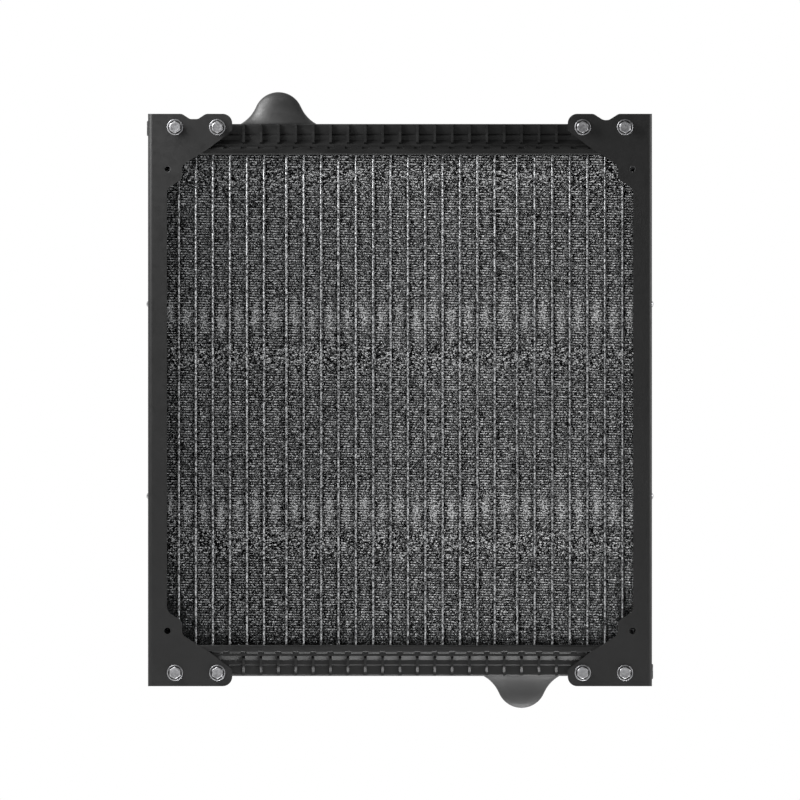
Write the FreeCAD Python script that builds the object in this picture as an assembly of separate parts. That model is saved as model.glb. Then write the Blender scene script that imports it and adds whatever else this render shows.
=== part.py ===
import FreeCAD, Part
import math
import os

# Heavy-duty engine coolant radiator, in millimetres.
# X points right and +Z up as seen from the front; the front looks along -Y.
# The origin is the centre of the four shroud holes, on the front faces of the side frames.

Vector = FreeCAD.Vector

# Side frames
FRAME_WIDTH = 560.0
FRAME_HEIGHT = 636.0
FRAME_DEPTH = 70.0
SHEET = 3.0
BEND_RADIUS = 5.0
WINDOW_WIDTH = 518.0
EAR_END_X = 186.4
EAR_FOOT_Z = 299.5
EAR_RADIUS = 10.6
EAR_FOOT_RADIUS = 5.0
# Corners of a gusset's inner edge, from the ear to the window: X, Z, radius
GUSSET = ((211.7, 280.0, 12.0), (242.0, 261.0, 7.0), (242.0, 245.5, 8.0))
WINDOW_CORNER_Z = 235.0
WINDOW_CORNER_RADIUS = 10.0
# Dips in the top ears: half width at the top and at the bottom, depth, bottom radius
DIP_X = 229.0
DIP_SHOULDER_RADIUS = 7.0
LEFT_DIP = (13.3, 4.4, 5.8, 5.0)
RIGHT_DIP = (13.9, 3.0, 7.0, 9.0)
SHROUD_HOLE_X = 258.4
SHROUD_HOLE_Z = 256.5
SHROUD_HOLE_RADIUS = 3.5

# Core
TUBE_GROUPS = (
    # first tube's X, pitch, count
    (-245.8, 18.94, 6),
    (-126.2, 19.29, 13),
    (130.2, 19.53, 7),
)
TUBE_THICKNESS = 2.4
TUBE_DEPTH = 45.0
TUBE_WALL = 0.4
TUBE_STAND_OUT = 3.0
FIN_PERIOD = 12.0
FIN_SHEET_IN_X = 1.35
FIN_END_GAP = 1.0
CORE_END_X = 264.0
SUPPORT_SHEET = 2.0
SUPPORT_FLANGE = 7.5

# Header plates
HEADER_Z = 272.0
HEADER_SHEET = 2.0
HEADER_LENGTH = 536.0
HEADER_WALL_TOP = 279.0
HEADER_BEND = 2.5
SLOT_GAP = 0.05
TAB_TOP = 282.0
TAB_REACH = 6.0
TAB_LENGTH = 12.6
TABS_PER_SIDE = 26
END_TABS_Y = (21.0, 49.0)

# Tanks
RIB_PITCH = 19.3
RIB_COUNT = 19
RIB_THICKNESS = 2.8
GASKET_THICKNESS = 2.5
FOOT_TOP = 280.0
FOOT_GAP = 0.2
FOOT_BEVEL = 1.0
TANK_WALL = 3.0
TANK_TOP = 306.7
TANK_MIDDLE_X = 190.0
TANK_END_X = 261.5
TANK_END_TOP = 310.0
SHOULDER_Y = 9.0
SHOULDER_Z = 284.5
WAIST_Y = 13.2
WAIST_Z = 289.0
LEDGE_Z = (294.0, 295.2)
WALL_Y = 16.5
SHOULDER_ROUND = 0.8
LEDGE_ROUND = 0.4
WALL_TOP_ROUND = 2.5
FOOT_HOLLOW_Y = 12.0
HOLLOW_LIFT = 1 / 3
RIB_FRONT_Y = 7.0
RIB_BASE_Z = (284.5, 287.0)
RIB_NOSE_Z = (296.8, 302.4)
RIB_TIP_Y = 12.0
RIB_ROUND = 1.0
RIB_NOSE_ROUND = 3.0

# Coolant ports
PORT_X = -135.0
PORT_Z = 314.9
PORT_ROOT_RADIUS = 27.2
PORT_FLARE_RADIUS = 39.8
PORT_FOOT_X = 42.2
PORT_DEPTH_SCALE = 0.385
PORT_HOSE_RADIUS = 25.4
PORT_BORE_RADIUS = 22.2
PORT_BORE_SCALE = 0.38
PORT_ROOT_END_Y = 74.0
PORT_END_Y = 120.0

# Fasteners
BOLT_X = (203.1, 250.1)
BOLT_Z = 303.2
BOLT_RADIUS = 4.0
BOLT_REACH = 17.0
BOLT_HOLE_RADIUS = 4.5
BOLT_FLANGE_RADIUS = 8.95
BOLT_HEAD_HEIGHT = 8.0
BOLT_FLANGE_RIM = 1.0
BOLT_FLANGE_SLOPE = 1.2
BOLT_HEX = 12.0
BOLT_CHAMFER = 0.3
BOSS_RADIUS = 8.0
BOSS_REACH = 22.0
INSERT_RADIUS = 5.5
INSERT_LENGTH = 15.0
THREAD_GAP = 0.05
RIVET_Z = 106.7
RIVET_RADIUS = 2.0
RIVET_HEAD_RADIUS = 3.6
RIVET_HEAD_HEIGHT = 1.7
RIVET_TAIL_LENGTH = 4.0
WELD_NUT_RADIUS = 6.0
WELD_NUT_HEIGHT = 5.0
WELD_NUT_BORE = 3.05

# Vent and drain plugs, M12 x 1.5 with a collar and a 6 mm hex socket
PLUG_Z = 301.7
PLUG_THREAD_RADIUS = 6.0
PLUG_THREAD_END_X = -266.2
PLUG_RUNNING_GAP = 0.05
PLUG_COLLAR_RADIUS = 8.5
PLUG_COLLAR = 3.0
PLUG_COLLAR_CHAMFER = 0.8
PLUG_SOCKET = 6.0
PLUG_SOCKET_DEPTH = 6.0
WASHER = 1.5
WASHER_RADIUS = 8.0
PORT_BOSS_RADIUS = 10.5
PORT_BOSS_END_X = -276.7
PORT_INSERT_RADIUS = 8.2
PORT_INSERT_LENGTH = 12.0
PORT_PASSAGE_RADIUS = 1.9
WEB_HOLE_RADIUS = 11.3

TOLERANCE = 0.01
# How far a cutter or a joining piece runs past the surface it meets
PAST = 1.0

MID_Y = FRAME_DEPTH / 2
FRAME_X = FRAME_WIDTH / 2
FRAME_TOP = FRAME_HEIGHT / 2
WINDOW_X = WINDOW_WIDTH / 2
HEADER_X = HEADER_LENGTH / 2
HEADER_TOP = HEADER_Z + HEADER_SHEET
GASKET_TOP = HEADER_TOP + GASKET_THICKNESS
CORE_FRONT = MID_Y - TUBE_DEPTH / 2
CORE_BACK = MID_Y + TUBE_DEPTH / 2


def box(x, y, z):
    """Box from three (low, high) pairs."""
    sizes = [high - low for low, high in (x, y, z)]
    return Part.makeBox(*sizes, Vector(x[0], y[0], z[0]))


def rod_y(x, z, radius, start, end):
    """Cylinder along Y."""
    return Part.makeCylinder(radius, end - start, Vector(x, start, z), Vector(0, 1, 0))


def rod_x(y, z, radius, start, end):
    """Cylinder along X."""
    return Part.makeCylinder(radius, end - start, Vector(start, y, z), Vector(1, 0, 0))


def rounded_face(corners):
    """Flat face in the XY plane through (a, b, radius) corners, each rounded by its radius."""
    points = [Vector(a, b, 0) for a, b, _ in corners]
    starts, middles, ends = [], [], []
    for i, here in enumerate(points):
        radius = corners[i][2]
        back = (points[i - 1] - here).normalize()
        ahead = (points[(i + 1) % len(points)] - here).normalize()
        half = back.getAngle(ahead) / 2
        reach = radius / math.tan(half)
        starts.append(here + back * reach)
        ends.append(here + ahead * reach)
        inward = (back + ahead).normalize() if radius else Vector(0, 0, 0)
        middles.append(here + inward * (radius / math.sin(half) - radius))
    edges = []
    for i in range(len(corners)):
        if corners[i][2]:
            edges.append(Part.Arc(starts[i], middles[i], ends[i]).toShape())
        edges.append(Part.makeLine(ends[i], starts[(i + 1) % len(points)]))
    return Part.Face(Part.Wire(edges))


def plate_xz(corners, start, end):
    """Outline of (x, z, radius) corners, made solid from start to end along Y."""
    face = rounded_face(corners)
    face.rotate(Vector(0, 0, 0), Vector(1, 0, 0), 90)
    face.translate(Vector(0, start, 0))
    return face.extrude(Vector(0, end - start, 0))


def bar_yz(corners, start, end):
    """Section of (y, z, radius) corners, made solid from start to end along X."""
    face = rounded_face(corners)
    face.rotate(Vector(0, 0, 0), Vector(0, 0, 1), 90)
    face.rotate(Vector(0, 0, 0), Vector(0, 1, 0), 90)
    face.translate(Vector(start, 0, 0))
    return face.extrude(Vector(end - start, 0, 0))


def mirrored_section(front):
    """Front half of a (y, z, radius) section, with its mirror image behind the middle plane."""
    return front + [(FRAME_DEPTH - y, z, radius) for y, z, radius in reversed(front)]


def left_right(shape):
    """The shape's mirror image on the other side."""
    return shape.mirror(Vector(0, 0, 0), Vector(1, 0, 0))


def front_back(shape):
    """The shape's mirror image behind the middle plane."""
    return shape.mirror(Vector(0, MID_Y, 0), Vector(0, 1, 0))


def turned(shape):
    """The shape turned half a turn about the front-to-back axis."""
    copy = shape.copy()
    copy.rotate(Vector(0, 0, 0), Vector(0, 1, 0), 180)
    return copy


def joined(shapes):
    """One solid from several that touch or overlap."""
    return shapes[0].fuse(shapes[1:]).removeSplitter()


def ear_dip(half_top, half_bottom, depth, bottom_radius):
    """Corners of the dip in an ear's top edge, from the outer side inwards."""
    low = FRAME_TOP - depth
    return [
        (DIP_X + half_top, FRAME_TOP, DIP_SHOULDER_RADIUS),
        (DIP_X + half_bottom, low, bottom_radius),
        (DIP_X - half_bottom, low, bottom_radius),
        (DIP_X - half_top, FRAME_TOP, DIP_SHOULDER_RADIUS),
    ]


def ear_and_gusset():
    """Corners from an ear's end down its gusset to the window's straight edge."""
    ear_end = [(EAR_END_X, FRAME_TOP, EAR_RADIUS), (EAR_END_X, EAR_FOOT_Z, EAR_FOOT_RADIUS)]
    window_corner = (WINDOW_X, WINDOW_CORNER_Z, WINDOW_CORNER_RADIUS)
    return ear_end + list(GUSSET) + [window_corner]


def flange_plate(dip):
    """Front flange of the right frame, with its ears and gussets."""
    upper = ear_and_gusset()
    lower = [(x, -z, radius) for x, z, radius in reversed(upper)]
    outer = [(FRAME_X, -FRAME_TOP, 0), (FRAME_X, FRAME_TOP, 0)]
    plate = plate_xz(outer + dip + upper + lower, 0, SHEET)
    for x in BOLT_X:
        for z in (-BOLT_Z, BOLT_Z):
            plate = plate.cut(rod_y(x, z, BOLT_HOLE_RADIUS, -PAST, SHEET + PAST))
    return plate


def fold_edges(frame, x):
    """Upright edges of the frame that run its full height at x."""
    found = []
    for edge in frame.Edges:
        ends = [vertex.Point for vertex in edge.Vertexes]
        upright = len(ends) == 2 and abs(ends[0].z - ends[1].z) > FRAME_HEIGHT - TOLERANCE
        if upright and all(abs(end.x - x) < TOLERANCE for end in ends):
            found.append(edge)
    return found


def round_bends(frame):
    """Round the folds between web and flanges, outside and inside."""
    rounded = frame.makeFillet(BEND_RADIUS, fold_edges(frame, FRAME_X))
    return rounded.makeFillet(BEND_RADIUS - SHEET, fold_edges(rounded, FRAME_X - SHEET))


def side_frame(dip, plug_hole_z):
    """Right side frame: web, front and rear flanges, ears, gussets and holes."""
    front = flange_plate(dip)
    web = box((FRAME_X - SHEET, FRAME_X), (0, FRAME_DEPTH), (-FRAME_TOP, FRAME_TOP))
    frame = round_bends(joined([web, front, front_back(front)]))
    for z in (-SHROUD_HOLE_Z, SHROUD_HOLE_Z):
        frame = frame.cut(rod_y(SHROUD_HOLE_X, z, SHROUD_HOLE_RADIUS, -PAST, SHEET + PAST))
    for z in (-RIVET_Z, RIVET_Z):
        frame = frame.cut(rod_x(MID_Y, z, RIVET_RADIUS + THREAD_GAP, WINDOW_X, FRAME_X + PAST))
    return frame.cut(rod_x(MID_Y, plug_hole_z, WEB_HOLE_RADIUS, WINDOW_X, FRAME_X + PAST))


def tube_positions():
    """X of every tube, from left to right."""
    return [first + i * pitch for first, pitch, count in TUBE_GROUPS for i in range(count)]


def flat_tube(x, thickness, depth, low, high):
    """Flat tube or slot with round edges, upright at x."""
    radius = thickness / 2
    near = MID_Y - depth / 2 + radius
    far = MID_Y + depth / 2 - radius
    solid = box((x - radius, x + radius), (near, far), (low, high))
    for y in (near, far):
        solid = solid.fuse(Part.makeCylinder(radius, high - low, Vector(x, y, low)))
    return solid.removeSplitter()


def core_tubes():
    """All the tubes, hollow, standing out a little into both tanks."""
    top = HEADER_TOP + TUBE_STAND_OUT
    tubes = []
    for x in tube_positions():
        outer = flat_tube(x, TUBE_THICKNESS, TUBE_DEPTH, -top, top)
        wall = 2 * TUBE_WALL
        inner = flat_tube(x, TUBE_THICKNESS - wall, TUBE_DEPTH - wall, -top - PAST, top + PAST)
        tubes.append(outer.cut(inner))
    return Part.makeCompound(tubes)


def fin_strip(left, right):
    """One corrugated strip between two tubes, folded up and down the core."""
    reach = HEADER_Z - FIN_END_GAP
    folds = int(2 * reach / (FIN_PERIOD / 2))
    step = 2 * reach / folds
    near = [(left if i % 2 else right - FIN_SHEET_IN_X, -reach + i * step, 0) for i in range(folds + 1)]
    far = [(x + FIN_SHEET_IN_X, z, 0) for x, z, _ in reversed(near)]
    return plate_xz(near + far, CORE_FRONT, CORE_BACK)


def core_fins():
    """All the fin strips, one in each space between tubes and core supports."""
    half = TUBE_THICKNESS / 2
    tubes = tube_positions()
    lefts = [-CORE_END_X] + [x + half for x in tubes]
    rights = [x - half for x in tubes] + [CORE_END_X]
    return Part.makeCompound([fin_strip(left, right) for left, right in zip(lefts, rights)])


def core_support():
    """Right core support: a hat-shaped channel between the last fins and the frame's web."""
    inner = CORE_END_X
    outer = FRAME_X - SHEET
    base = inner + SUPPORT_SHEET
    leg = CORE_FRONT + SUPPORT_FLANGE
    front = [(inner, CORE_FRONT), (base, CORE_FRONT), (base, leg), (outer, leg)]
    back = [(x, FRAME_DEPTH - y) for x, y in reversed(front)]
    inside = [
        (inner, FRAME_DEPTH - leg - SUPPORT_SHEET),
        (outer - SUPPORT_SHEET, FRAME_DEPTH - leg - SUPPORT_SHEET),
        (outer - SUPPORT_SHEET, leg + SUPPORT_SHEET),
        (inner, leg + SUPPORT_SHEET),
    ]
    face = rounded_face([(x, y, 0) for x, y in front + back + inside])
    face.translate(Vector(0, 0, -HEADER_Z))
    support = face.extrude(Vector(0, 0, 2 * HEADER_Z))
    for z in (-RIVET_Z, RIVET_Z):
        support = support.cut(rod_x(MID_Y, z, RIVET_RADIUS + THREAD_GAP, inner, FRAME_X))
    return support


def crimp_tab():
    """Crimp tab on the front wall, bent over the tank's foot and centred on X = 0."""
    wall = (SHEET, SHEET + HEADER_SHEET)
    end = SHEET + TAB_REACH
    root = HEADER_WALL_TOP - HEADER_SHEET
    outer_bend = TAB_TOP - HEADER_WALL_TOP
    corners = [
        (wall[0], root, 0),
        (wall[0], TAB_TOP, outer_bend),
        (end, TAB_TOP, 0),
        (end, TAB_TOP - HEADER_SHEET, 0),
        (wall[1], TAB_TOP - HEADER_SHEET, outer_bend - HEADER_SHEET),
        (wall[1], root, 0),
    ]
    return bar_yz(corners, -TAB_LENGTH / 2, TAB_LENGTH / 2)


def header_gutter():
    """Header plate with its four walls, before slots and tabs."""
    depth = (SHEET, FRAME_DEPTH - SHEET)
    outer = box((-HEADER_X, HEADER_X), depth, (HEADER_Z, HEADER_WALL_TOP))
    lower_edges = [
        edge
        for edge in outer.Edges
        if all(abs(vertex.Z - HEADER_Z) < TOLERANCE for vertex in edge.Vertexes)
        and abs(edge.Vertexes[0].Y - edge.Vertexes[1].Y) < TOLERANCE
    ]
    outer = outer.makeFillet(HEADER_BEND, lower_edges)
    inner = box(
        (-HEADER_X + HEADER_SHEET, HEADER_X - HEADER_SHEET),
        (depth[0] + HEADER_SHEET, depth[1] - HEADER_SHEET),
        (HEADER_TOP, HEADER_WALL_TOP + PAST),
    )
    return outer.cut(inner)


def header_plate(slot_positions):
    """Top header plate: gutter, tube slots and crimp tabs folded over the tank's foot."""
    header = header_gutter()
    width = TUBE_THICKNESS + 2 * SLOT_GAP
    depth = TUBE_DEPTH + 2 * SLOT_GAP
    slots = [flat_tube(x, width, depth, HEADER_Z - PAST, HEADER_TOP + PAST) for x in slot_positions]
    header = header.cut(slots)
    tabs = []
    for i in range(TABS_PER_SIDE):
        tab = crimp_tab()
        tab.translate(Vector((i - (TABS_PER_SIDE - 1) / 2) * RIB_PITCH, 0, 0))
        tabs += [tab, front_back(tab)]
    for y in END_TABS_Y:
        tab = crimp_tab()
        tab.rotate(Vector(0, 0, 0), Vector(0, 0, 1), -90)
        tab.translate(Vector(-HEADER_X - SHEET, y, 0))
        tabs += [tab, left_right(tab)]
    return joined([header] + tabs)


def gasket():
    """Top gasket: a flat ring in the header's gutter under the tank's foot."""
    reach = HEADER_X - HEADER_SHEET - FOOT_GAP
    edge = SHEET + HEADER_SHEET + FOOT_GAP
    inner_x = TANK_END_X - TANK_WALL
    outer = box((-reach, reach), (edge, FRAME_DEPTH - edge), (HEADER_TOP, GASKET_TOP))
    inner_y = (FOOT_HOLLOW_Y, FRAME_DEPTH - FOOT_HOLLOW_Y)
    inner = box((-inner_x, inner_x), inner_y, (HEADER_TOP - PAST, GASKET_TOP + PAST))
    return outer.cut(inner)


def tank_section(inset, low, wall_y, top):
    """Section of the tank's outside, or of its hollow when inset by the wall thickness."""
    lift = inset * HOLLOW_LIFT
    front = [
        (SHOULDER_Y + inset, low, 0),
        (SHOULDER_Y + inset, SHOULDER_Z + lift, SHOULDER_ROUND),
        (WAIST_Y + inset, WAIST_Z + lift, SHOULDER_ROUND),
    ]
    if wall_y > WAIST_Y:
        front += [
            (WAIST_Y + inset, LEDGE_Z[0] + lift, LEDGE_ROUND),
            (wall_y + inset, LEDGE_Z[1] + lift, LEDGE_ROUND),
        ]
    front.append((wall_y + inset, top - inset, WALL_TOP_ROUND))
    return mirrored_section(front)


def tank_rib():
    """Upright rib on the tank's front wall, centred on X = 0, its nose sloping back to the tip."""
    back = WALL_Y + PAST
    low, shelf = RIB_BASE_Z
    corners = [
        (back, low, 0),
        (SHOULDER_Y, low, 0),
        (RIB_FRONT_Y, shelf, RIB_ROUND),
        (RIB_FRONT_Y, RIB_NOSE_Z[0], RIB_NOSE_ROUND),
        (RIB_TIP_Y, RIB_NOSE_Z[1], RIB_NOSE_ROUND),
        (RIB_TIP_Y, TANK_TOP, RIB_ROUND),
        (back, TANK_TOP, 0),
    ]
    return bar_yz(corners, -RIB_THICKNESS / 2, RIB_THICKNESS / 2)


def flare_centre(dome, foot):
    """Centre of the flare's arc, which touches the dome from outside and ends at the foot."""
    span = foot - dome
    to_dome = PORT_ROOT_RADIUS + PORT_FLARE_RADIUS
    along = (to_dome**2 - PORT_FLARE_RADIUS**2 + span.Length**2) / (2 * span.Length)
    across = math.sqrt(to_dome**2 - along**2)
    span.normalize()
    return dome + span * along + Vector(-span.z, 0, span.x) * across


def port_bell():
    """Domed port with a flared foot, standing on the tank's top wall."""
    dome = Vector(0, 0, PORT_Z)
    foot = Vector(PORT_FOOT_X, 0, TANK_TOP)
    flare = flare_centre(dome, foot)
    toward_flare = (flare - dome).normalize()
    join = dome + toward_flare * PORT_ROOT_RADIUS
    crown = dome + Vector(0, 0, PORT_ROOT_RADIUS)
    on_dome = dome + ((crown - dome) + (join - dome)).normalize() * PORT_ROOT_RADIUS
    on_flare = flare + ((join - flare) + (foot - flare)).normalize() * PORT_FLARE_RADIUS
    base = TANK_TOP - TANK_WALL / 2
    edges = [
        Part.Arc(crown, on_dome, join).toShape(),
        Part.Arc(join, on_flare, foot).toShape(),
        Part.makeLine(foot, Vector(PORT_FOOT_X, 0, base)),
        Part.makeLine(Vector(PORT_FOOT_X, 0, base), Vector(0, 0, base)),
        Part.makeLine(Vector(0, 0, base), crown),
    ]
    bell = Part.Face(Part.Wire(edges)).revolve(Vector(0, 0, 0), Vector(0, 0, 1), 360)
    return squeezed(bell, PORT_DEPTH_SCALE)


def squeezed(shape, scale):
    """Shape about the origin, squeezed along Y and moved to the port's place."""
    matrix = FreeCAD.Matrix()
    matrix.scale(1, scale, 1)
    shape = shape.transformGeometry(matrix)
    shape.translate(Vector(PORT_X, MID_Y, 0))
    return shape


def port_bore():
    """Hollow of the port: a round bore with a domed front end."""
    end = Part.makeSphere(PORT_BORE_RADIUS, Vector(0, 0, PORT_Z))
    return rod_y(PORT_X, PORT_Z, PORT_BORE_RADIUS, MID_Y, PORT_END_Y + PAST).fuse(
        squeezed(end, PORT_BORE_SCALE)
    )


def tank_foot():
    """Flange round the tank's open side, bevelled where the crimp tabs bend over it."""
    foot_x = HEADER_X - HEADER_SHEET - FOOT_GAP
    foot_y = SHEET + HEADER_SHEET + FOOT_GAP
    foot = box((-foot_x, foot_x), (foot_y, FRAME_DEPTH - foot_y), (GASKET_TOP, FOOT_TOP))
    upper = [
        edge
        for edge in foot.Edges
        if all(abs(vertex.Z - FOOT_TOP) < TOLERANCE for vertex in edge.Vertexes)
    ]
    return foot.makeChamfer(FOOT_BEVEL, upper)


def tank_body():
    """Outside of the tank: foot, walls, raised ends, ribs, bosses and coolant port."""
    middle = bar_yz(
        tank_section(0, FOOT_TOP, WALL_Y, TANK_TOP), -TANK_MIDDLE_X, TANK_MIDDLE_X
    )
    end = bar_yz(tank_section(0, FOOT_TOP, WAIST_Y, TANK_END_TOP), TANK_MIDDLE_X, TANK_END_X)
    pieces = [
        tank_foot(),
        middle,
        end,
        left_right(end),
        port_bell(),
        rod_y(PORT_X, PORT_Z, PORT_ROOT_RADIUS, MID_Y, PORT_ROOT_END_Y),
        rod_y(PORT_X, PORT_Z, PORT_HOSE_RADIUS, PORT_ROOT_END_Y, PORT_END_Y),
        rod_x(MID_Y, PLUG_Z, PORT_BOSS_RADIUS, PORT_BOSS_END_X, -TANK_END_X + PAST),
    ]
    for i in range(RIB_COUNT):
        rib = tank_rib()
        rib.translate(Vector((i - (RIB_COUNT - 1) / 2) * RIB_PITCH, 0, 0))
        pieces += [rib, front_back(rib)]
    return joined(pieces)


def tank_hollow():
    """Inside of the tank, open towards the header."""
    inner_end = TANK_END_X - TANK_WALL
    split = TANK_MIDDLE_X + TANK_WALL
    low = GASKET_TOP - PAST
    middle = bar_yz(tank_section(TANK_WALL, low, WALL_Y, TANK_TOP), -split, split)
    end = bar_yz(tank_section(TANK_WALL, low, WAIST_Y, TANK_END_TOP), split, inner_end)
    return joined([middle, end, left_right(end)])


def bolt_places():
    """X of the flange bolts along one tank."""
    return [side * x for side in (-1, 1) for x in BOLT_X]


def tank():
    """Top tank, hollow, with bosses for the flange bolts and the vent port."""
    solid = tank_body().cut(tank_hollow())
    bosses = []
    for x in bolt_places():
        boss = rod_y(x, BOLT_Z, BOSS_RADIUS, SHEET, BOSS_REACH)
        bosses += [boss, front_back(boss)]
    solid = joined([solid] + bosses).cut(port_bore())
    for x in bolt_places():
        seat = rod_y(x, BOLT_Z, INSERT_RADIUS, SHEET, SHEET + INSERT_LENGTH)
        solid = solid.cut([seat, front_back(seat)])
    insert_end = PORT_BOSS_END_X + PORT_INSERT_LENGTH
    solid = solid.cut(rod_x(MID_Y, PLUG_Z, PORT_INSERT_RADIUS, PORT_BOSS_END_X - PAST, insert_end))
    inner_wall = -TANK_END_X + TANK_WALL
    passage = rod_x(MID_Y, PLUG_Z, PORT_PASSAGE_RADIUS, insert_end - PAST, inner_wall + PAST)
    return solid.cut(passage)


def hexagon(across_flats, start, end):
    """Hexagonal bar along Y, centred on the origin."""
    corner = across_flats / math.sqrt(3)
    angles = [math.radians(60 * i) for i in range(6)]
    return plate_xz([(corner * math.cos(a), corner * math.sin(a), 0) for a in angles], start, end)


def flange_bolt(x, z):
    """Flange bolt with its head in front of the frame."""
    top = -BOLT_HEAD_HEIGHT
    corner = BOLT_HEX / math.sqrt(3)
    hex_head = hexagon(BOLT_HEX, top, -BOLT_FLANGE_RIM)
    # A cone with 45 degree sides cuts the hexagon's front corners
    chamfer_start = BOLT_HEX / 2 - BOLT_CHAMFER
    chamfer = Part.makeCone(
        chamfer_start,
        chamfer_start + BOLT_HEAD_HEIGHT,
        BOLT_HEAD_HEIGHT,
        Vector(0, top, 0),
        Vector(0, 1, 0),
    )
    rim = rod_y(0, 0, BOLT_FLANGE_RADIUS, -BOLT_FLANGE_RIM, 0)
    slope = Part.makeCone(
        BOLT_FLANGE_RADIUS,
        corner - BOLT_CHAMFER,
        BOLT_FLANGE_SLOPE,
        Vector(0, -BOLT_FLANGE_RIM, 0),
        Vector(0, -1, 0),
    )
    shank = rod_y(0, 0, BOLT_RADIUS, 0, BOLT_REACH)
    bolt = joined([hex_head.common(chamfer), rim, slope, shank])
    bolt.translate(Vector(x, 0, z))
    return bolt


def front_bolts():
    """Eight flange bolts, two at each corner."""
    return [flange_bolt(x, z) for z in (BOLT_Z, -BOLT_Z) for x in bolt_places()]


def bolt_inserts():
    """Threaded inserts in the tanks, for the front and the rear bolts."""
    inserts = []
    for z in (BOLT_Z, -BOLT_Z):
        for x in bolt_places():
            sleeve = rod_y(x, z, INSERT_RADIUS, SHEET, SHEET + INSERT_LENGTH)
            sleeve = sleeve.cut(rod_y(x, z, BOLT_RADIUS + THREAD_GAP, 0, FRAME_DEPTH))
            inserts += [sleeve, front_back(sleeve)]
    return Part.makeCompound(inserts)


def side_rivet(z):
    """Domed rivet through the right frame's web and core support."""
    head_sphere = (RIVET_HEAD_RADIUS**2 + RIVET_HEAD_HEIGHT**2) / (2 * RIVET_HEAD_HEIGHT)
    ball = Part.makeSphere(head_sphere, Vector(FRAME_X + RIVET_HEAD_HEIGHT - head_sphere, MID_Y, z))
    cap = ball.common(rod_x(MID_Y, z, RIVET_HEAD_RADIUS, FRAME_X, FRAME_X + RIVET_HEAD_HEIGHT + PAST))
    tail_end = FRAME_X - SHEET - SUPPORT_SHEET
    shank = rod_x(MID_Y, z, RIVET_RADIUS, tail_end - PAST, FRAME_X + RIVET_HEAD_HEIGHT / 3)
    tail = rod_x(MID_Y, z, RIVET_HEAD_RADIUS, tail_end - RIVET_TAIL_LENGTH, tail_end)
    return joined([cap, shank, tail])


def side_rivets():
    """Four rivets, two on each side."""
    right = [side_rivet(z) for z in (-RIVET_Z, RIVET_Z)]
    return Part.makeCompound(right + [left_right(rivet) for rivet in right])


def weld_nuts():
    """Nuts welded behind the two upper shroud holes."""
    nuts = []
    for x in (-SHROUD_HOLE_X, SHROUD_HOLE_X):
        nut = rod_y(x, SHROUD_HOLE_Z, WELD_NUT_RADIUS, SHEET, SHEET + WELD_NUT_HEIGHT)
        nuts.append(nut.cut(rod_y(x, SHROUD_HOLE_Z, WELD_NUT_BORE, 0, FRAME_DEPTH)))
    return Part.makeCompound(nuts)


def port_insert():
    """Threaded brass bush in the top tank's vent boss."""
    end = PORT_BOSS_END_X + PORT_INSERT_LENGTH
    bush = rod_x(MID_Y, PLUG_Z, PORT_INSERT_RADIUS, PORT_BOSS_END_X, end)
    return bush.cut(rod_x(MID_Y, PLUG_Z, PLUG_THREAD_RADIUS, PORT_BOSS_END_X - PAST, end + PAST))


def plug_washer():
    """Sealing ring under the vent plug's collar."""
    start = PORT_BOSS_END_X - WASHER
    ring = rod_x(MID_Y, PLUG_Z, WASHER_RADIUS, start, PORT_BOSS_END_X)
    return ring.cut(rod_x(MID_Y, PLUG_Z, PLUG_THREAD_RADIUS, start - PAST, PORT_BOSS_END_X + PAST))


def plug():
    """Vent plug: thread, collar and hex socket."""
    collar_in = PORT_BOSS_END_X - WASHER
    collar_out = collar_in - PLUG_COLLAR
    collar = rod_x(MID_Y, PLUG_Z, PLUG_COLLAR_RADIUS, collar_out, collar_in)
    rim = [edge for edge in collar.Edges if abs(edge.BoundBox.XMax - collar_out) < TOLERANCE]
    collar = collar.makeChamfer(PLUG_COLLAR_CHAMFER, rim)
    thread = rod_x(MID_Y, PLUG_Z, PLUG_THREAD_RADIUS - PLUG_RUNNING_GAP, collar_in, PLUG_THREAD_END_X)
    socket = hexagon(PLUG_SOCKET, 0, PLUG_SOCKET_DEPTH + PAST)
    socket.rotate(Vector(0, 0, 0), Vector(0, 0, 1), -90)
    socket.translate(Vector(collar_out - PAST, MID_Y, PLUG_Z))
    return joined([collar, thread]).cut(socket)


def build():
    """Every sub-part by name. The bottom tank's pieces are the top ones turned half a turn."""
    bolts = front_bolts()
    right_support = core_support()
    tubes = tube_positions()
    parts = {
        "left_side_frame": left_right(side_frame(ear_dip(*LEFT_DIP), PLUG_Z)),
        "right_side_frame": side_frame(ear_dip(*RIGHT_DIP), -PLUG_Z),
        "top_header": header_plate(tubes),
        "bottom_header": turned(header_plate([-x for x in tubes])),
        "core_tubes": core_tubes(),
        "core_fins": core_fins(),
        "left_core_support": left_right(right_support),
        "right_core_support": right_support,
        "front_flange_bolts": Part.makeCompound(bolts),
        "rear_flange_bolts": Part.makeCompound([front_back(bolt) for bolt in bolts]),
        "bolt_inserts": bolt_inserts(),
        "side_rivets": side_rivets(),
        "weld_nuts": weld_nuts(),
    }
    for name, turned_name, shape in (
        ("top_tank", "bottom_tank", tank()),
        ("top_gasket", "bottom_gasket", gasket()),
        ("vent_port_insert", "drain_port_insert", port_insert()),
        ("vent_plug_washer", "drain_plug_washer", plug_washer()),
        ("vent_plug", "drain_plug", plug()),
    ):
        parts[name] = shape
        parts[turned_name] = turned(shape)
    return parts


os.makedirs("parts", exist_ok=True)
for node, shape in build().items():
    shape.exportStep(f"parts/{node}.step")
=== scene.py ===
import math

import bmesh
import bpy
import numpy as np
from mathutils import Matrix, Vector


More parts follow.
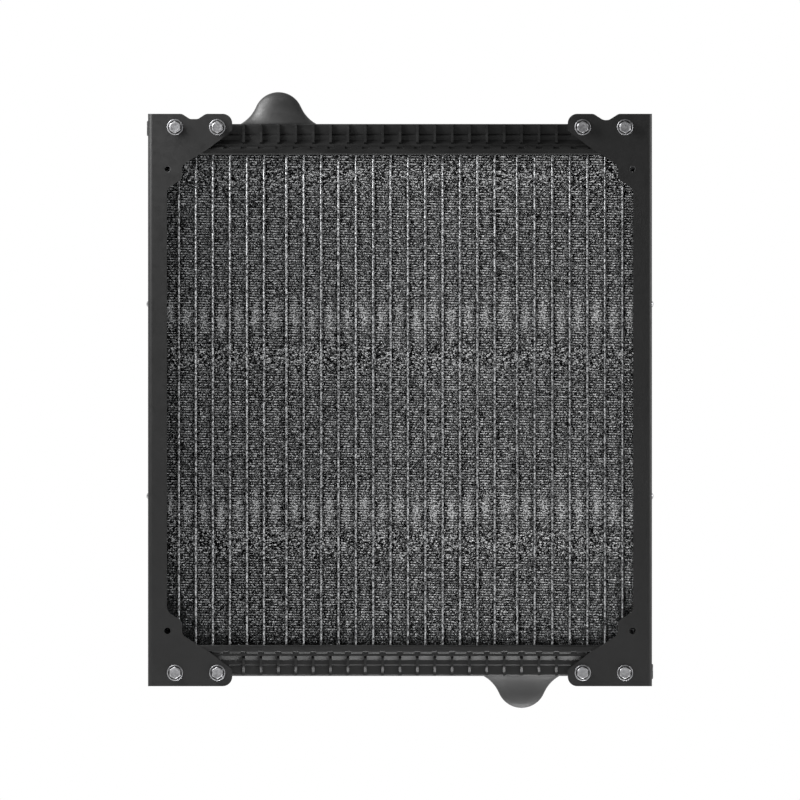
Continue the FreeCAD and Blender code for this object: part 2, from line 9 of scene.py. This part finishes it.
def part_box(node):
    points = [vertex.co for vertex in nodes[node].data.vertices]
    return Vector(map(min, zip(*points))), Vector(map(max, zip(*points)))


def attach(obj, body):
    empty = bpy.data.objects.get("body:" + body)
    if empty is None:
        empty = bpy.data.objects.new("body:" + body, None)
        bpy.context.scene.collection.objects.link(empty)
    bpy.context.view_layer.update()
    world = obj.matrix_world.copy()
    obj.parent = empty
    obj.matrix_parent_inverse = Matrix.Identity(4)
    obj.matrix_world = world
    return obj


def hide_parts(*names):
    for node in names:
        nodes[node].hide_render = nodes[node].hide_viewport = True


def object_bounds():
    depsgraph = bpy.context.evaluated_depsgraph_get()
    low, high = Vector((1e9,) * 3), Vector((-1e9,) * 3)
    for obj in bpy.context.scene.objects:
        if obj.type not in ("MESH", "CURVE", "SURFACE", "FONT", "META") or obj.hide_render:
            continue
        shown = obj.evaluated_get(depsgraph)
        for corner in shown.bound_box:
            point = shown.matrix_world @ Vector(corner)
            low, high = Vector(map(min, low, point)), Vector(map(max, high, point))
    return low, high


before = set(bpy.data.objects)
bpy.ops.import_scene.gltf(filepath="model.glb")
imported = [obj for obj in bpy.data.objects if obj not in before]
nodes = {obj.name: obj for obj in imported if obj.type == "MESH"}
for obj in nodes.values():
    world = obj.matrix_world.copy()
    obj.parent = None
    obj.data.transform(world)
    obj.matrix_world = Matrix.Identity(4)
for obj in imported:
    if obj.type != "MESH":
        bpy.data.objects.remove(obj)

# Heavy-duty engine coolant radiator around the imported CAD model. Metres, X right, Y back, Z up.

MM = 0.001
cad_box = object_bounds()

# Camera
PICTURE_WIDTH = 0.8889
CAMERA_DISTANCE = 3.0
CAMERA_FAR = 50.0

# Room: light from in front and from behind, and the direction's Y over which it changes
ROOM_FRONT = 0.17
ROOM_BACK = 0.8
ROOM_TURN = (0.1, 0.6)

# Floor, with its own glow as the object sees it and as the camera sees it
FLOOR_RADIUS = 4.0
FLOOR_SIDES = 96
FLOOR_GAP = 0.5 * MM
FLOOR_GLOW = 0.35
FLOOR_SEEN = 0.8

# Lights: name, place, where it points, width, height and power in watts
LIGHTS = (
    ("key_left", (-0.7, -0.3, 0.6), (-0.15, 0.0, 0.2), 0.4, 0.6, 13),
    ("front_low", (0.3, -0.5, -0.6), (0.1, 0.0, 0.0), 0.5, 0.3, 1.2),
    ("under", (0.15, 0.03, -0.9), (0.15, 0.0, -0.3), 0.5, 0.1, 7),
    ("right", (1.0, 0.0, 0.2), (0.2, 0.0, 0.1), 0.2, 0.8, 4),
)

# Height, up or down, over which the tank's wall turns to the paler port colour, which is painted
# light
PORT_LIGHT_START = (306.2 * MM, 309.0 * MM)
# X range over which the painted shade on the fins fades out, so they are darker towards the left
FIN_SHADE_FADE = (-0.25, 0.05)
NOISE_ROUGHNESS = 0.55

# Widths of the rounded edges
STEEL_EDGE = 0.5 * MM
NYLON_EDGE = 0.4 * MM
SHEET_EDGE = 0.3 * MM
EDGE_ANGLE = math.radians(35)
WELD_DISTANCE = 0.002 * MM

# Least space between two tubes
TUBE_GAP = 5 * MM

# Fin strips: folded up and down the core, two legs to a pitch
FIN_PITCH = 2.74 * MM
FIN_RECESS = 1.3 * MM
FIN_REACH = 272.0 * MM
FIN_SEED = 41
# Points along a leg, its rise from end to end, and the spread of each point's height
FIN_LEG_POINTS = 11
FIN_TILT = 0.55 * MM
FIN_JITTER = 0.12 * MM
# Width of a fold, and where its points are between one leg and the next
FIN_FOLD = 0.3 * MM
FIN_FOLD_RISES = (0.4, 0.6)
# Front half of a leg's section: distance behind the front edge and height, in mm
FIN_SECTION = (
    (0.0, 0.0),
    (0.15, -0.05),
    (1.9, -2.1),
    (4.6, -0.3),
    (7.2, -2.0),
    (9.8, -0.3),
)
# How far the section is stretched from front to back at the folds, how much less in the middle of
# a leg and in the bright bands, and how much more and less in every other leg
FIN_STRETCH = 1.4
FIN_MIDDLE_STRETCH = 0.4
FIN_BRIGHT_STRETCH = 0.6
FIN_UNEVEN = 0.3
FIN_STRETCH_SPREAD = 0.5
FIN_STRETCH_LIMITS = (0.5, 2.0)
# How far a leg's front edge lies back at the folds, and the spread of it everywhere
FIN_SETBACK = 0.9 * MM
FIN_SETBACK_SPREAD = 0.15 * MM
# Heights where the fins catch more light, and where the strips are ragged
FIN_BRIGHT_Z = (0.092, -0.122)
FIN_BRIGHT_WIDTH = 0.016
FIN_BRIGHT_SHIFT = 0.004
FIN_RAGGED_Z = (0.248, 0.047, -0.158)
FIN_RAGGED_WIDTH = 0.012
FIN_RAGGED_LEAST = 0.6
FIN_RAGGED_MORE = 1.6

# Flange bolts, in mm
BOLT_HEAD = 8.0
BOLT_HEX = 12.0
BOLT_CHAMFER_START = 5.5
BOLT_CHAMFER_SLOPE = math.tan(math.radians(30))
BOLT_STEPS = 60
BOLT_TURN = math.radians(3)
BOLT_SHARP_ANGLE = math.radians(28)
BOLT_SEED = 7
# The dished middle of the head: radius and depth below its top
BOLT_DISH = (
    (2.9, 0.12),
    (3.7, 0.1),
    (4.1, 0.0),
    (BOLT_CHAMFER_START, 0.0),
)
# Where the chamfer ends, inside the hexagon's side, and the rounded corner after it: distance past
# the side, and depth below the shoulder
BOLT_CHAMFER_END = 0.25
BOLT_CORNER = (
    (-0.05, 0.1),
    (0.0, 0.35),
)
# The hexagon's foot: distance past its side, and distance behind the frame's face
BOLT_FOOT = (
    (0.0, -0.6),
    (0.1, -0.4),
)
# Flange and shank outside the hexagon: radius and distance behind the frame's face
BOLT_PROFILE = (
    (7.15, -0.5),
    (7.3, -0.9),
    (7.6, -1.25),
    (8.0, -1.4),
    (8.5, -1.3),
    (8.85, -0.95),
    (8.95, -0.4),
    (8.8, 0.0),
    (4.0, 0.0),
    (4.0, 16.3),
    (3.3, 17.0),
)
# Faces between rings of the surface that take a darker zinc as painted shade: the groove at the
# hexagon's foot
BOLT_SHADED_GROOVE_FACES = range(7, 11)


# ---------------------------------------------------------------- meshes


def mesh_object(name, vertices, faces):
    """New flat-shaded mesh object from numpy arrays of vertices and of quads."""
    mesh = bpy.data.meshes.new(name)
    corners = faces.shape[1]
    mesh.vertices.add(len(vertices))
    mesh.vertices.foreach_set("co", vertices.astype(np.float32).ravel())
    mesh.loops.add(faces.size)
    mesh.loops.foreach_set("vertex_index", faces.astype(np.int32).ravel())
    mesh.polygons.add(len(faces))
    mesh.polygons.foreach_set("loop_start", np.arange(0, faces.size, corners, dtype=np.int32))
    mesh.polygons.foreach_set("loop_total", np.full(len(faces), corners, dtype=np.int32))
    mesh.polygons.foreach_set("use_smooth", np.full(len(faces), False))
    mesh.update()
    mesh.validate()
    return linked(name, mesh)


def linked(name, data):
    """New object with the given data, placed at the origin of the scene."""
    new = bpy.data.objects.new(name, data)
    bpy.context.scene.collection.objects.link(new)
    return new


def grid_faces(rows, columns):
    """Quads of a grid of rows x columns vertices, numbered row by row."""
    row, column = np.meshgrid(np.arange(rows - 1), np.arange(columns - 1), indexing="ij")
    first = (row * columns + column).ravel()
    return np.stack([first, first + 1, first + columns + 1, first + columns], axis=1)


# ---------------------------------------------------------------- materials


def grey(level):
    """A neutral colour."""
    return (level, level, level)


class Shader:
    """A node material under construction, with short calls for the nodes used here."""

    def __init__(self, name, colour, roughness, metallic=0.0):
        self.material = bpy.data.materials.new(name)
        self.material.use_nodes = True
        self.tree = self.material.node_tree
        self.shader = self.tree.nodes["Principled BSDF"]
        self.shader.inputs["Base Color"].default_value = (*colour, 1.0)
        self.shader.inputs["Roughness"].default_value = roughness
        self.shader.inputs["Metallic"].default_value = metallic
        self.place = self.tree.nodes.new("ShaderNodeTexCoord").outputs["Object"]

    def link(self, output, node_input):
        """Join a node's output to another's input."""
        self.tree.links.new(output, node_input)

    def stretched(self, scale):
        """Object coordinates multiplied by a scale for each axis."""
        node = self.tree.nodes.new("ShaderNodeMapping")
        node.inputs["Scale"].default_value = scale
        self.link(self.place, node.inputs["Vector"])
        return node.outputs["Vector"]

    def noise(self, size, detail=3.0, vector=None):
        """Noise with features of about the given size in metres."""
        node = self.tree.nodes.new("ShaderNodeTexNoise")
        node.inputs["Scale"].default_value = 1.0 / size
        node.inputs["Detail"].default_value = detail
        node.inputs["Roughness"].default_value = NOISE_ROUGHNESS
        self.link(self.place if vector is None else vector, node.inputs["Vector"])
        return node.outputs["Fac"]

    def cells(self, size):
        """Distance to the nearest cell centre, for a pebbled grain."""
        node = self.tree.nodes.new("ShaderNodeTexVoronoi")
        node.inputs["Scale"].default_value = 1.0 / size
        self.link(self.place, node.inputs["Vector"])
        return node.outputs["Distance"]

    def spread(self, value, low, high, from_low=0.3, from_high=0.7):
        """Value between from_low and from_high made to run from low to high."""
        node = self.tree.nodes.new("ShaderNodeMapRange")
        node.inputs["From Min"].default_value = from_low
        node.inputs["From Max"].default_value = from_high
        node.inputs["To Min"].default_value = low
        node.inputs["To Max"].default_value = high
        self.link(value, node.inputs["Value"])
        return node.outputs["Result"]

    def blend(self, value, first, second, from_low=0.3, from_high=0.7):
        """Colour from first to second as value runs from from_low to from_high."""
        ramp = self.tree.nodes.new("ShaderNodeValToRGB")
        ramp.color_ramp.elements[0].position = from_low
        ramp.color_ramp.elements[0].color = (*first, 1.0)
        ramp.color_ramp.elements[1].position = from_high
        ramp.color_ramp.elements[1].color = (*second, 1.0)
        self.link(value, ramp.inputs["Fac"])
        return ramp.outputs["Color"]

    def coordinate(self, axis):
        """One object coordinate, measured from the object's middle."""
        parts = self.tree.nodes.new("ShaderNodeSeparateXYZ")
        self.link(self.place, parts.inputs["Vector"])
        return parts.outputs[axis]

    def height(self):
        """Distance above or below the object's middle."""
        size = self.tree.nodes.new("ShaderNodeMath")
        size.operation = "ABSOLUTE"
        self.link(self.coordinate("Z"), size.inputs[0])
        return size.outputs["Value"]

    def either(self, share, first, second):
        """Colour going from first to second as share goes from 0 to 1."""
        node = self.tree.nodes.new("ShaderNodeMix")
        node.data_type = "RGBA"
        self.link(share, node.inputs["Factor"])
        self.link(first, node.inputs["A"])
        self.link(second, node.inputs["B"])
        return node.outputs["Result"]

    def colour(self, output):
        """Take the base colour from a node."""
        self.link(output, self.shader.inputs["Base Color"])

    def rough(self, output):
        """Take the roughness from a node."""
        self.link(output, self.shader.inputs["Roughness"])

    def bump(self, height, distance):
        """Bump of the given height in metres, on top of any earlier one."""
        node = self.tree.nodes.new("ShaderNodeBump")
        node.inputs["Distance"].default_value = distance
        self.link(height, node.inputs["Height"])
        normal = self.shader.inputs["Normal"]
        if normal.is_linked:
            self.link(normal.links[0].from_socket, node.inputs["Normal"])
        self.link(node.outputs["Normal"], normal)


def powder_coat():
    """Satin black powder coat: orange peel, faint mottling and fine dust."""
    s = Shader("powder_coat", grey(0.006), 0.5)
    s.colour(s.blend(s.noise(60 * MM), grey(0.005), grey(0.008)))
    s.rough(s.spread(s.noise(9 * MM), 0.46, 0.6))
    s.bump(s.noise(1.6 * MM, detail=2.0), 0.03 * MM)
    s.bump(s.noise(0.35 * MM, detail=1.0), 0.008 * MM)
    return s.material


def moulded_nylon():
    """Black glass-filled nylon: pebbled grain and cloudy fibre marks, with the ports made paler as
    painted light.
    """
    s = Shader("moulded_nylon", grey(0.006), 0.45)
    fibres = s.noise(14 * MM, detail=5.0, vector=s.stretched((0.35, 1.0, 1.0)))
    wall = s.blend(fibres, grey(0.004), grey(0.009))
    # Paler colour on the port domes: painted light, for the light that falls on them
    lit_port = s.blend(fibres, grey(0.026), grey(0.034))
    s.colour(s.either(s.spread(s.height(), 0.0, 1.0, *PORT_LIGHT_START), wall, lit_port))
    s.rough(s.spread(fibres, 0.38, 0.56))
    s.bump(s.cells(0.55 * MM), 0.02 * MM)
    s.bump(s.noise(5 * MM), 0.05 * MM)
    return s.material


def painted_header():
    """Satin black paint over drawn aluminium sheet."""
    s = Shader("painted_header", grey(0.006), 0.42)
    flow = s.noise(10 * MM, vector=s.stretched((0.2, 1.0, 1.0)))
    s.colour(s.blend(flow, grey(0.004), grey(0.008)))
    s.rough(s.spread(flow, 0.34, 0.52))
    s.bump(s.noise(1.2 * MM), 0.02 * MM)
    return s.material


def support_paint():
    """Thin black paint on the folded core supports."""
    s = Shader("support_paint", grey(0.02), 0.5)
    s.colour(s.blend(s.noise(20 * MM), grey(0.016), grey(0.028)))
    s.rough(s.spread(s.noise(4 * MM), 0.4, 0.6))
    s.bump(s.noise(1.0 * MM), 0.02 * MM)
    return s.material


def seal_rubber():
    """Moulded black rubber."""
    s = Shader("seal_rubber", grey(0.012), 0.75)
    s.colour(s.blend(s.noise(6 * MM), grey(0.009), (0.018, 0.018, 0.017)))
    s.rough(s.spread(s.noise(2 * MM), 0.65, 0.85))
    s.bump(s.noise(0.4 * MM), 0.02 * MM)
    return s.material


def tube_aluminium():
    """Brazed aluminium tube: dull sheen, flux specks and drawing lines along its length."""
    s = Shader("tube_aluminium", (0.6, 0.61, 0.62), 0.35, metallic=1.0)
    specks = s.noise(2.6 * MM, detail=2.0)
    s.colour(s.blend(specks, (0.06, 0.061, 0.063), (0.75, 0.76, 0.77), 0.4, 0.6))
    s.rough(s.spread(s.noise(4 * MM), 0.28, 0.5))
    s.bump(s.noise(1.0 * MM, vector=s.stretched((1.0, 1.0, 0.15))), 0.05 * MM)
    s.bump(specks, 0.08 * MM)
    return s.material


def fin_aluminium():
    """Thin fin strip: brazing haze, and painted shade that makes it darker towards the left."""
    s = Shader("fin_aluminium", (0.6, 0.605, 0.61), 0.5, metallic=1.0)
    haze = s.noise(0.9 * MM, detail=1.0, vector=s.stretched((0.7, 0.3, 1.0)))
    plain_haze = s.blend(haze, (0.04, 0.041, 0.042), (0.8, 0.805, 0.81), 0.43, 0.57)
    shaded_haze = s.blend(haze, (0.02, 0.021, 0.022), (0.4, 0.405, 0.41), 0.43, 0.57)
    # Painted shade: the fin colour darkens towards the left
    s.colour(s.either(s.spread(s.coordinate("X"), 0.0, 1.0, *FIN_SHADE_FADE), shaded_haze, plain_haze))
    s.rough(s.spread(s.noise(6 * MM), 0.3, 0.5))
    s.bump(s.noise(0.8 * MM), 0.03 * MM)
    return s.material


def zinc_plate():
    """Zinc-plated bolt: fine turned marks and slightly milky patches."""
    s = Shader("zinc_plate", (0.6, 0.6, 0.61), 0.45, metallic=1.0)
    cloud = s.noise(2.5 * MM, detail=4.0)
    s.colour(s.blend(cloud, (0.3, 0.3, 0.31), (0.46, 0.46, 0.47)))
    s.rough(s.spread(cloud, 0.4, 0.55))
    s.bump(s.noise(0.5 * MM), 0.015 * MM)
    return s.material


def groove_shade_zinc():
    """Darker, mottled zinc that paints the shade in the groove at a bolt hexagon's foot."""
    s = Shader("groove_shade_zinc", (0.06, 0.058, 0.055), 0.6, metallic=0.6)
    shade_mottle = s.noise(1.2 * MM, detail=4.0)
    s.colour(s.blend(shade_mottle, (0.02, 0.019, 0.018), (0.12, 0.118, 0.115)))
    s.rough(s.spread(shade_mottle, 0.5, 0.8))
    s.bump(shade_mottle, 0.05 * MM)
    return s.material


def machined_metal(name, dark, light):
    """Turned metal with fine rings across X and slight tarnish."""
    s = Shader(name, light, 0.35, metallic=1.0)
    s.colour(s.blend(s.noise(2 * MM, detail=4.0), dark, light))
    s.rough(s.spread(s.noise(1.5 * MM), 0.25, 0.45))
    s.bump(s.noise(0.3 * MM, vector=s.stretched((3.0, 0.3, 0.3))), 0.01 * MM)
    return s.material


# ---------------------------------------------------------------- CAD pieces


def soften_edges(node, width):
    """Small rounded edges on a CAD node, as pressed, moulded and painted edges have."""
    weld = node.modifiers.new("weld", "WELD")
    weld.merge_threshold = WELD_DISTANCE
    bevel = node.modifiers.new("bevel", "BEVEL")
    bevel.width = width
    bevel.segments = 2
    bevel.limit_method = "ANGLE"
    bevel.angle_limit = EDGE_ANGLE
    bevel.use_clamp_overlap = True
    normals = node.modifiers.new("normals", "WEIGHTED_NORMAL")
    normals.keep_sharp = False


def finish_nodes(names, material, edge=None):
    """The material, and rounded edges where a width is given, on CAD nodes."""
    for name in names:
        node = nodes[name]
        for slot in node.material_slots:
            slot.material = material
        if edge:
            node.data.polygons.foreach_set("use_smooth", [True] * len(node.data.polygons))
            soften_edges(node, edge)


# ---------------------------------------------------------------- fins


def tube_walls():
    """Middle X of every tube, left to right, and a tube's thickness, from the tube node."""
    xs = np.sort(np.array([v.co.x for v in nodes["core_tubes"].data.vertices]))
    gaps = np.where(np.diff(xs) > TUBE_GAP)[0]
    firsts = np.concatenate([[0], gaps + 1])
    lasts = np.concatenate([gaps, [len(xs) - 1]])
    return (xs[firsts] + xs[lasts]) / 2, xs[lasts[0]] - xs[0]


def bands(z, centres, width):
    """Smooth bumps of height 1 round each centre."""
    return sum(np.exp(-(((z - centre) / width) ** 2)) for centre in centres)


def folded_path(z_leg, rightward, left, right):
    """X and Z along a folded strip, one row for each leg and the fold after it."""
    share = np.linspace(0, 1, FIN_LEG_POINTS)
    reach = FIN_FOLD + (right - left - 2 * FIN_FOLD) * share
    rise = 2 * FIN_REACH / (len(z_leg) - 1)
    x_leg = left + np.where(rightward, reach, reach[::-1])
    z_along = z_leg[:, None] + FIN_TILT * (share - 0.5)
    x_fold = np.where(rightward, right, left).repeat(len(FIN_FOLD_RISES), axis=1)
    z_fold = z_leg[:, None] + rise * np.array(FIN_FOLD_RISES)
    return np.hstack([x_leg, x_fold]), np.hstack([z_along, z_fold])


def swept_section(x, z, stretch, setback):
    """The waved section, front to back, at every point of a strip's path."""
    low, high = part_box("core_fins")
    section = np.array(FIN_SECTION) * MM
    half = len(section)
    depth = high.y - low.y - 2 * FIN_RECESS
    front = np.clip(stretch, *FIN_STRETCH_LIMITS).reshape(-1, 1) * section[:, 0]
    front = front + setback.reshape(-1, 1)
    across = np.empty((x.size, 2 * half + 1))
    across[:, :half] = front
    across[:, half] = depth / 2
    across[:, half + 1 :] = depth - front[:, ::-1]
    height = np.concatenate([section[:, 1], [section[:, 1].mean()], section[::-1, 1]])

    vertices = np.empty((*across.shape, 3))
    vertices[:, :, 0] = x.reshape(-1, 1)
    vertices[:, :, 1] = low.y + FIN_RECESS + across
    vertices[:, :, 2] = np.clip(z.reshape(-1, 1) + height, -FIN_REACH, FIN_REACH)
    return vertices


def fin_strip(name, left, right, seed):
    """One folded fin strip between two tube walls, every leg waved from front to back."""
    draw = np.random.default_rng(seed)
    legs = int(2 * FIN_REACH / (FIN_PITCH / 2))
    z_leg = np.linspace(-FIN_REACH, FIN_REACH, legs)
    torn = bands(z_leg, FIN_RAGGED_Z, FIN_RAGGED_WIDTH)[:, None]
    ragged = FIN_RAGGED_LEAST + FIN_RAGGED_MORE * torn
    shifted = z_leg + draw.normal(0, FIN_BRIGHT_SHIFT)
    bright = bands(shifted, FIN_BRIGHT_Z, FIN_BRIGHT_WIDTH)[:, None]

    rightward = (np.arange(legs) % 2 == 0)[:, None]
    x, z = folded_path(z_leg, rightward, left, right)
    z += draw.normal(0, FIN_JITTER, z.shape) * ragged
    z[-1] = FIN_REACH
    inside = np.sin(np.pi * np.clip((x - left) / (right - left), 0, 1))
    stretch = FIN_STRETCH - FIN_MIDDLE_STRETCH * inside - FIN_BRIGHT_STRETCH * bright * inside**2
    stretch *= np.where(rightward, 1 + FIN_UNEVEN, 1 - FIN_UNEVEN)
    stretch *= np.exp(draw.normal(0, FIN_STRETCH_SPREAD, z.shape) * ragged)
    setback = FIN_SETBACK * (1 - inside) ** 2
    setback += np.abs(draw.normal(0, FIN_SETBACK_SPREAD, z.shape)) * ragged

    vertices = swept_section(x, z, stretch, setback)
    return mesh_object(name, vertices.reshape(-1, 3), grid_faces(*vertices.shape[:2]))


def build_fins(material):
    """A fin strip in every space between tubes and core supports."""
    centres, thickness = tube_walls()
    low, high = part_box("core_fins")
    lefts = [low.x] + [x + thickness / 2 for x in centres]
    rights = [x - thickness / 2 for x in centres] + [high.x]
    for i, (left, right) in enumerate(zip(lefts, rights)):
        strip = fin_strip(f"fin_strip_{i + 1:02d}", left, right, FIN_SEED + i)
        strip.data.materials.append(material)
        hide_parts("core_fins")
        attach(strip, "radiator")


# ---------------------------------------------------------------- bolts


def hex_radius(angle, across_flats):
    """Distance from a hexagon's centre to its side at an angle."""
    sector = math.pi / 3
    return across_flats / 2 / math.cos((angle + sector / 2) % sector - sector / 2)


def bolt_rings(angle):
    """Radius and depth of a flange bolt's surface at an angle, from the middle of its head."""
    side = hex_radius(angle, BOLT_HEX)
    shoulder = -BOLT_HEAD + max(0.0, side - BOLT_CHAMFER_START) * BOLT_CHAMFER_SLOPE
    dish = [(radius, depth - BOLT_HEAD) for radius, depth in BOLT_DISH]
    chamfer = (side - BOLT_CHAMFER_END, shoulder - BOLT_CHAMFER_END * BOLT_CHAMFER_SLOPE)
    corner = [(side + past, shoulder + depth) for past, depth in BOLT_CORNER]
    foot = [(side + past, depth) for past, depth in BOLT_FOOT]
    return [*dish, chamfer, *corner, *foot, *BOLT_PROFILE]


def bolt_shape():
    """One flange bolt at the origin, pointing along +Y."""
    shape = bmesh.new()
    columns = []
    for i in range(BOLT_STEPS):
        angle = 2 * math.pi * i / BOLT_STEPS
        column = [
            shape.verts.new((r * MM * math.cos(angle), depth * MM, r * MM * math.sin(angle)))
            for r, depth in bolt_rings(angle)
        ]
        columns.append(column)
    for i, column in enumerate(columns):
        following = columns[(i + 1) % BOLT_STEPS]
        for j in range(len(column) - 1):
            face = shape.faces.new((column[j], following[j], following[j + 1], column[j + 1]))
            # The groove's faces get the second material, a darker zinc that is painted shade
            face.material_index = 1 if j in BOLT_SHADED_GROOVE_FACES else 0
    shape.faces.new([column[0] for column in reversed(columns)])
    shape.faces.new([column[-1] for column in columns])
    bmesh.ops.recalc_face_normals(shape, faces=shape.faces)
    return shape


def joined_vertices(start, seen):
    """Places of all the vertices that edges join to the first one, which are added to seen."""
    places, queue = [], [start]
    seen.add(start.index)
    while queue:
        vertex = queue.pop()
        places.append(vertex.co.copy())
        for edge in vertex.link_edges:
            other = edge.other_vert(vertex)
            if other.index not in seen:
                seen.add(other.index)
                queue.append(other)
    return places


def solid_centres(name):
    """Middle of each separate solid of a CAD node."""
    shape = bmesh.new()
    shape.from_mesh(nodes[name].data)
    bmesh.ops.remove_doubles(shape, verts=shape.verts, dist=0.001 * MM)
    shape.verts.ensure_lookup_table()
    seen = set()
    centres = []
    for start in shape.verts:
        if start.index in seen:
            continue
        places = joined_vertices(start, seen)
        low = Vector(min(place[k] for place in places) for k in range(3))
        high = Vector(max(place[k] for place in places) for k in range(3))
        centres.append((low + high) / 2)
    shape.free()
    return centres


def bolt_group(node_name, rear):
    """Mesh of bolts in the places of a CAD bolt node, each turned a little differently."""
    draw = np.random.default_rng(BOLT_SEED + rear)
    joined = bmesh.new()
    scratch = bpy.data.meshes.new("scratch")
    low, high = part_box(node_name)
    face = high.y - BOLT_HEAD * MM if rear else low.y + BOLT_HEAD * MM
    flip = Matrix.Rotation(math.pi if rear else 0.0, 4, "Z")
    for centre in solid_centres(node_name):
        single = bolt_shape()
        turn = Matrix.Rotation(draw.normal(0, BOLT_TURN), 4, "Y")
        place = Matrix.Translation(Vector((centre.x, face, centre.z)))
        single.transform(place @ flip @ turn)
        single.to_mesh(scratch)
        single.free()
        joined.from_mesh(scratch)
    bpy.data.meshes.remove(scratch)
    mesh = bpy.data.meshes.new(node_name + "_detailed")
    joined.to_mesh(mesh)
    joined.free()
    return mesh


def build_bolts(node_name, material, groove_shade, rear):
    """Detailed flange bolts that stand for a CAD bolt node."""
    mesh = bolt_group(node_name, rear)
    mesh.polygons.foreach_set("use_smooth", [True] * len(mesh.polygons))
    mesh.set_sharp_from_angle(angle=BOLT_SHARP_ANGLE)
    mesh.materials.append(material)
    mesh.materials.append(groove_shade)
    bolts = linked(node_name + "_detailed", mesh)
    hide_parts(node_name)
    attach(bolts, "radiator")


# ---------------------------------------------------------------- stage


def area_light(name, place, target, width, height, power):
    """Soft rectangular light that the camera doesn't see."""
    data = bpy.data.lights.new(name, "AREA")
    data.shape = "RECTANGLE"
    data.size = width
    data.size_y = height
    data.energy = power
    light = linked(name, data)
    light.location = place
    light.rotation_mode = "QUATERNION"
    light.rotation_quaternion = (Vector(target) - Vector(place)).to_track_quat("-Z", "Y")
    light.visible_camera = False


def build_world():
    """White for the camera, and a room that is dim in front and bright behind the object."""
    world = bpy.data.worlds.new("studio")
    bpy.context.scene.world = world
    world.use_nodes = True
    tree = world.node_tree
    room = tree.nodes["Background"]
    room.inputs["Color"].default_value = (1.0, 1.0, 1.0, 1.0)
    direction = tree.nodes.new("ShaderNodeTexCoord")
    parts = tree.nodes.new("ShaderNodeSeparateXYZ")
    tree.links.new(direction.outputs["Generated"], parts.inputs["Vector"])
    strength = tree.nodes.new("ShaderNodeMapRange")
    strength.interpolation_type = "SMOOTHSTEP"
    strength.inputs["From Min"].default_value = ROOM_TURN[0]
    strength.inputs["From Max"].default_value = ROOM_TURN[1]
    strength.inputs["To Min"].default_value = ROOM_FRONT
    strength.inputs["To Max"].default_value = ROOM_BACK
    tree.links.new(parts.outputs["Y"], strength.inputs["Value"])
    tree.links.new(strength.outputs["Result"], room.inputs["Strength"])
    backdrop = tree.nodes.new("ShaderNodeBackground")
    backdrop.inputs["Strength"].default_value = 1.0
    backdrop.inputs["Color"].default_value = (1.0, 1.0, 1.0, 1.0)
    path = tree.nodes.new("ShaderNodeLightPath")
    mix = tree.nodes.new("ShaderNodeMixShader")
    tree.links.new(path.outputs["Is Camera Ray"], mix.inputs["Fac"])
    tree.links.new(room.outputs["Background"], mix.inputs[1])
    tree.links.new(backdrop.outputs["Background"], mix.inputs[2])
    tree.links.new(mix.outputs["Shader"], tree.nodes["World Output"].inputs["Surface"])


def build_floor():
    """Plain pale floor just under the object's lowest point."""
    mesh = bpy.data.meshes.new("floor")
    shape = bmesh.new()
    bmesh.ops.create_circle(shape, cap_ends=True, segments=FLOOR_SIDES, radius=FLOOR_RADIUS)
    shape.to_mesh(mesh)
    shape.free()
    floor = linked("floor", mesh)
    floor.location = (0, 0, cad_box[0].z - FLOOR_GAP)
    floor.visible_shadow = False
    s = Shader("floor", grey(0.8), 0.9)
    s.rough(s.spread(s.noise(0.4), 0.85, 0.95))
    s.shader.inputs["Emission Color"].default_value = (1.0, 1.0, 1.0, 1.0)
    seen = s.tree.nodes.new("ShaderNodeLightPath").outputs["Is Camera Ray"]
    glow = s.spread(seen, FLOOR_GLOW, FLOOR_SEEN, 0.0, 1.0)
    s.link(glow, s.shader.inputs["Emission Strength"])
    mesh.materials.append(s.material)


def build_camera():
    """Camera square to the front, centred between the four shroud holes."""
    data = bpy.data.cameras.new("camera")
    data.type = "ORTHO"
    data.ortho_scale = PICTURE_WIDTH
    data.clip_end = CAMERA_FAR
    camera = linked("camera", data)
    camera.location = (0, -CAMERA_DISTANCE, 0)
    camera.rotation_euler = (math.pi / 2, 0, 0)
    bpy.context.scene.camera = camera


bpy.context.scene.view_settings.view_transform = "Standard"
build_camera()
build_world()
build_floor()
for light in LIGHTS:
    area_light(*light)

coat = powder_coat()
nylon = moulded_nylon()
zinc = zinc_plate()
# Darker zinc that paints the shade in the bolts' grooves
groove_shade = groove_shade_zinc()
rivet = machined_metal("rivet_aluminium", (0.4, 0.4, 0.41), (0.6, 0.6, 0.61))
brass = machined_metal("insert_brass", (0.42, 0.27, 0.08), (0.62, 0.43, 0.17))
plug = machined_metal("plug_steel", (0.06, 0.06, 0.062), (0.12, 0.12, 0.122))
washer = machined_metal("washer_aluminium", (0.5, 0.5, 0.51), (0.72, 0.72, 0.73))
finish_nodes(["left_side_frame", "right_side_frame"], coat, STEEL_EDGE)
finish_nodes(["weld_nuts"], zinc)
finish_nodes(["top_tank", "bottom_tank"], nylon, NYLON_EDGE)
finish_nodes(["top_header", "bottom_header"], painted_header(), SHEET_EDGE)
finish_nodes(["left_core_support", "right_core_support"], support_paint(), SHEET_EDGE)
finish_nodes(["top_gasket", "bottom_gasket"], seal_rubber())
finish_nodes(["core_tubes"], tube_aluminium())
finish_nodes(["side_rivets"], rivet)
finish_nodes(["bolt_inserts", "vent_port_insert", "drain_port_insert"], brass)
finish_nodes(["vent_plug", "drain_plug"], plug)
finish_nodes(["vent_plug_washer", "drain_plug_washer"], washer)
build_bolts("front_flange_bolts", zinc, groove_shade, rear=False)
build_bolts("rear_flange_bolts", zinc, groove_shade, rear=True)
build_fins(fin_aluminium())
